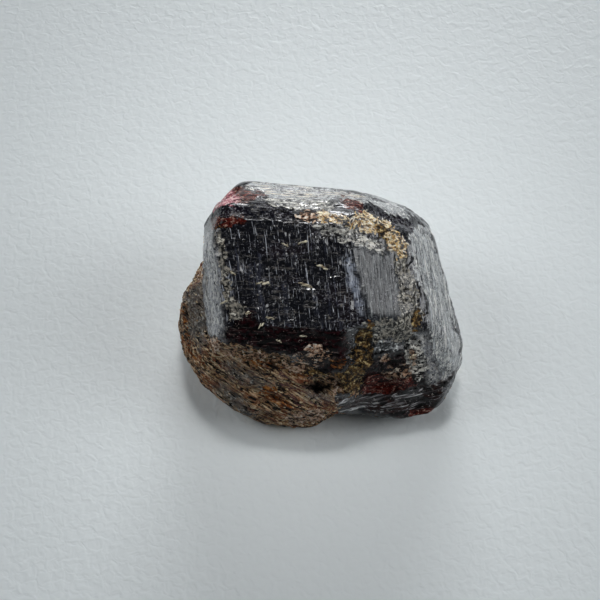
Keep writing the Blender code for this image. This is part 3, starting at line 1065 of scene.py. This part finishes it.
def stone_material():
    """Almandine garnet still in its mica schist, worn by tumbling in a river.

    The garnet is nearly black, with deep wine red where it is thin, and glassy: its index is about 1.8. Its
    growth lines catch the light as pale hairs. The schist is dull brown and fibrous, and rusts where it holds
    iron.
    """
    material = bpy.data.materials.new("worn_almandine_in_schist")
    material.use_nodes = True
    tree = material.node_tree
    surface = tree.nodes["Principled BSDF"]
    fields = stone_fields(tree)

    colour = laid_over(tree, fields, *LOOKS["garnet"])
    for name, (_, _, opaque) in COVERS.items():
        if name == CHIPS_GO_BEFORE:
            colour = laid_over(tree, fields, colour, CHIPPED)
        look = laid_over(tree, fields, *LOOKS[name])
        colour = laid_over(tree, fields, colour, [("on_" + name, 0.0, 1.0, opaque, look)])
    tree.links.new(colour, surface.inputs["Base Color"])
    rough_layers = [(name, 0.0, 1.0, 1.0, roughness) for name, roughness in ROUGHNESS.items()]
    roughness = laid_over(tree, fields, GARNET_ROUGHNESS, rough_layers)
    tree.links.new(roughness, surface.inputs["Roughness"])
    surface.inputs["IOR"].default_value = GARNET_IOR

    # Painted shade in the reflections: the specular level falls where places are muted.
    muted = highest(tree, [(fields[name], factor) for name, factor in MUTED.items()])
    plain, dead = SPECULAR_LEVELS
    shine = node(tree, "ShaderNodeMath", {0: muted, 1: dead - plain, 2: plain}, operation="MULTIPLY_ADD")
    tree.links.new(shine.outputs[0], surface.inputs["Specular IOR Level"])

    normal = None
    for name, low, high, deep_mm, *where in BUMPS:
        height = rising(tree, fields, name, low, high, 1.0, where)
        settings = {"Height": height, "Strength": 1.0, "Distance": deep_mm * MM}
        if normal:
            settings["Normal"] = normal
        normal = node(tree, "ShaderNodeBump", settings).outputs["Normal"]
    tree.links.new(normal, surface.inputs["Normal"])
    return material


# ---------------------------------------------------------------- loose grains and flakes


def socket_id(tree, name):
    """The identifier that a modifier knows an input by."""
    items = tree.interface.items_tree
    return next(item.identifier for item in items if item.name == name and item.in_out == "INPUT")


def scatter_tree():
    """Grows thin grains on the skin where a share is high, each turned and sized at random."""
    tree = bpy.data.node_groups.new("scattered_grains", "GeometryNodeTree")
    tree.interface.new_socket("Geometry", in_out="INPUT", socket_type="NodeSocketGeometry")
    inputs = {
        "Share": "NodeSocketFloat",
        "Density": "NodeSocketFloat",
        "Long": "NodeSocketFloat",
        "Short": "NodeSocketFloat",
        "Thickness": "NodeSocketFloat",
        "Corners": "NodeSocketInt",
        "Tilt": "NodeSocketFloat",
        "Along": "NodeSocketVector",
        "Loose Turn": "NodeSocketFloat",
        "Seed": "NodeSocketInt",
        "Finish": "NodeSocketMaterial",
    }
    for name, kind in inputs.items():
        tree.interface.new_socket(name, in_out="INPUT", socket_type=kind)
    tree.interface.new_socket("Geometry", in_out="OUTPUT", socket_type="NodeSocketGeometry")
    given = node(tree, "NodeGroupInput").outputs
    result = node(tree, "NodeGroupOutput")

    seeds = {"Mesh": given["Geometry"], "Density": given["Density"], "Seed": given["Seed"]}
    spread = node(tree, "GeometryNodeDistributePointsOnFaces", seeds)
    index = node(tree, "GeometryNodeInputIndex").outputs[0]
    kept = node(tree, "FunctionNodeRandomValue", {2: GRAIN_KEPT_FROM, 3: 1.0, "ID": index})
    bare = node(tree, "FunctionNodeCompare", {0: given["Share"], 1: kept.outputs[1]}, operation="LESS_THAN")
    thinned = {0: spread.outputs["Points"], 1: bare.outputs[0]}
    points = node(tree, "GeometryNodeDeleteGeometry", thinned, domain="POINT")

    stand = node(tree, "FunctionNodeAlignRotationToVector", {"Vector": spread.outputs["Normal"]}, axis="Z")
    along = {"Rotation": stand.outputs[0], "Vector": given["Along"]}
    laid = node(tree, "FunctionNodeAlignRotationToVector", along, axis="X", pivot_axis="Z")
    low = node(tree, "ShaderNodeCombineXYZ")
    high = node(tree, "ShaderNodeCombineXYZ")
    for corner, sign in ((low, -1.0), (high, 1.0)):
        for place, value in ((0, given["Tilt"]), (1, given["Tilt"]), (2, given["Loose Turn"])):
            signed = node(tree, "ShaderNodeMath", {0: value, 1: sign}, operation="MULTIPLY").outputs[0]
            tree.links.new(signed, corner.inputs[place])
    turns = {0: low.outputs[0], 1: high.outputs[0], "Seed": TURN_SEED}
    turn = node(tree, "FunctionNodeRandomValue", turns, data_type="FLOAT_VECTOR")
    both_turns = {0: laid.outputs[0], 1: turn.outputs[0]}
    turned = node(tree, "FunctionNodeRotateRotation", both_turns, rotation_space="LOCAL")
    sizes = {0: GRAIN_SMALLEST, 1: GRAIN_LARGEST, "Seed": SIZE_SEED}
    size = node(tree, "FunctionNodeRandomValue", sizes, data_type="FLOAT_VECTOR")
    drum = {"Vertices": given["Corners"], "Radius": 0.5, "Depth": 1.0}
    plate = node(tree, "GeometryNodeMeshCylinder", drum, fill_type="NGON")
    sides = {0: given["Long"], 1: given["Short"], 2: given["Thickness"]}
    flat = {"Geometry": plate.outputs["Mesh"], "Scale": node(tree, "ShaderNodeCombineXYZ", sides).outputs[0]}
    grain = node(tree, "GeometryNodeTransform", flat)
    tone = node(tree, "FunctionNodeRandomValue", {"Seed": TONE_SEED}).outputs[1]
    tones = {"Geometry": points.outputs[0], "Name": "tone", "Value": tone}
    toned = node(tree, "GeometryNodeStoreNamedAttribute", tones, data_type="FLOAT", domain="POINT")
    parts = {"Points": toned, "Instance": grain, "Rotation": turned, "Scale": size}
    inputs = {key: part.outputs[0] for key, part in parts.items()}
    placed = node(tree, "GeometryNodeInstanceOnPoints", inputs)
    whole = node(tree, "GeometryNodeRealizeInstances", {0: placed.outputs[0]})
    coated = {"Geometry": whole.outputs[0], "Material": given["Finish"]}
    tree.links.new(node(tree, "GeometryNodeSetMaterial", coated).outputs[0], result.inputs[0])
    return tree


def scatter(name, skin, tree):
    """One piece of loose grains, grown on a copy of the skin."""
    kind = GRAINS[name]
    piece = link_object(name, skin.copy())
    grow = piece.modifiers.new("grow", "NODES")
    grow.node_group = tree
    sides = {key: side * MM for key, side in kind["sides_mm"].items()}
    settings = {**kind["spread"], **sides, "Along": SCHIST_LAYERS, "Finish": flake_material(*kind["finish"])}
    for key, value in settings.items():
        grow[socket_id(tree, key)] = value
    share = socket_id(tree, "Share")
    grow[share + "_use_attribute"] = True
    grow[share + "_attribute_name"] = kind["on"]
    bpy.context.view_layer.update()
    graph = bpy.context.evaluated_depsgraph_get()
    piece.data = bpy.data.meshes.new_from_object(piece.evaluated_get(graph))
    piece.modifiers.clear()
    piece.data.name = name
    keep_in_box(piece.data)
    hand_over(piece)


def hand_over(piece):
    """Makes a finished piece part of the one body, in the place of the plain solid."""
    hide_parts("garnet_crystal")
    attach(piece, "root")


def sight_line(pixel):
    """Where the camera stands, and the way it looks through a pixel."""
    axes = crown_frame()
    aside = [(PIXELS / 2 - HEART_PIXEL[0]) / PIXELS_PER_MM, (HEART_PIXEL[1] - PIXELS / 2) / PIXELS_PER_MM]
    across, up = (pixel[0] - HEART_PIXEL[0]) / PIXELS_PER_MM, (HEART_PIXEL[1] - pixel[1]) / PIXELS_PER_MM
    start = MAIN_HEART_MM + axes @ Vector((*aside, CAMERA_DISTANCE_MM))
    return start, (MAIN_HEART_MM + axes @ Vector((across, up, 0.0)) - start).normalized()


def add_fleck(mesh, middle, out, along, size_mm, number):
    """A low ragged dome, set into the skin. Its number sets its outline."""
    long_mm, wide_mm = size_mm
    across = out.cross(along)
    rings = []
    for share, height in FLECK_RINGS:
        ring = []
        for corner in range(FLECK_CORNERS):
            angle = 2 * math.pi * corner / FLECK_CORNERS
            ragged = 1.0 + FLECK_RAGGED * noise.noise(Vector((corner * 1.3, number * 7.3, 0.0)))
            offset = along * math.cos(angle) * long_mm + across * math.sin(angle) * wide_mm
            lift = out * height * FLECK_HEIGHT_MM
            ring.append(mesh.verts.new((middle + offset * 0.5 * share * ragged + lift) * MM))
        rings.append(ring)
    for lower, upper in zip(rings, rings[1:]):
        for corner in range(FLECK_CORNERS):
            following = (corner + 1) % FLECK_CORNERS
            mesh.faces.new((lower[corner], lower[following], upper[following], upper[corner]))
    mesh.faces.new(rings[-1])
    mesh.faces.new(list(reversed(rings[0])))


def place_flecks(skin):
    """The feldspar slivers, each set into the skin where it is seen."""
    ground = BVHTree.FromPolygons([v.co / MM for v in skin.vertices], [p.vertices for p in skin.polygons])
    axes = crown_frame()
    mesh = bmesh.new()
    slivers = [(place, part) for place in FLECKS.values() for part in FLECK_PARTS]
    for number, ((pixel, size_mm, turn_deg), (part, ahead, beside)) in enumerate(slivers):
        middle, out, _, _ = ground.ray_cast(*sight_line(pixel))
        turn = math.radians(turn_deg)
        along = axes @ Vector((math.cos(turn), math.sin(turn), 0.0))
        along = (along - out * along.dot(out)).normalized()
        middle += along * ahead * size_mm[0] + out.cross(along) * beside * size_mm[1]
        add_fleck(mesh, middle, out, along, [side * part for side in size_mm], number)
    bmesh.ops.recalc_face_normals(mesh, faces=mesh.faces)
    data = bpy.data.meshes.new("feldspar_flecks")
    mesh.to_mesh(data)
    mesh.free()
    data.materials.append(fleck_material())
    data.shade_smooth()
    keep_in_box(data)
    hand_over(link_object("feldspar_flecks", data))


def fleck_material():
    """Feldspar: opaque cream, worn dull, with darker seams."""
    material = bpy.data.materials.new("cream_feldspar")
    material.use_nodes = True
    tree = material.node_tree
    surface = tree.nodes["Principled BSDF"]
    place = node(tree, "ShaderNodeTexCoord").outputs["Object"]
    seams = {"seams": drawn_noise(tree, place, zone_axis("level"), FLECK_SEAMS_MM, 3.0)}
    colour = laid_over(tree, seams, "7E6C50", [("seams", 0.38, 0.56, 1.0, "E6DEC4")])
    tree.links.new(colour, surface.inputs["Base Color"])
    surface.inputs["Roughness"].default_value = 0.45
    surface.inputs["IOR"].default_value = 1.53
    return material


def flake_material(name, tones, roughness):
    """Mica: thin pearly plates. Each one has its own tone, and its flat face throws a glint."""
    material = bpy.data.materials.new(name)
    material.use_nodes = True
    tree = material.node_tree
    surface = tree.nodes["Principled BSDF"]
    fields = {"tone": node(tree, "ShaderNodeAttribute", attribute_name="tone").outputs["Fac"]}
    dark, middling, bright = tones
    steps = [("tone", 0.0, 0.5, 1.0, middling), ("tone", 0.5, 1.0, 1.0, bright)]
    colour = laid_over(tree, fields, dark, steps)
    tree.links.new(colour, surface.inputs["Base Color"])
    surface.inputs["Roughness"].default_value = roughness
    surface.inputs["IOR"].default_value = 1.58
    return material


def build_stone():
    stone = plain_skin()
    shares = cover(stone.data)
    carve(stone.data, shares)
    keep_shares(stone.data, shares)
    stone.data.materials.clear()
    stone.data.materials.append(stone_material())
    stone.data.shade_smooth()
    tree = scatter_tree()
    scatter("gold_flakes", stone.data, tree)
    place_flecks(stone.data)
    scatter("schist_flakes", stone.data, tree)
    hand_over(stone)


add_camera()
add_studio()
add_floor()
build_stone()
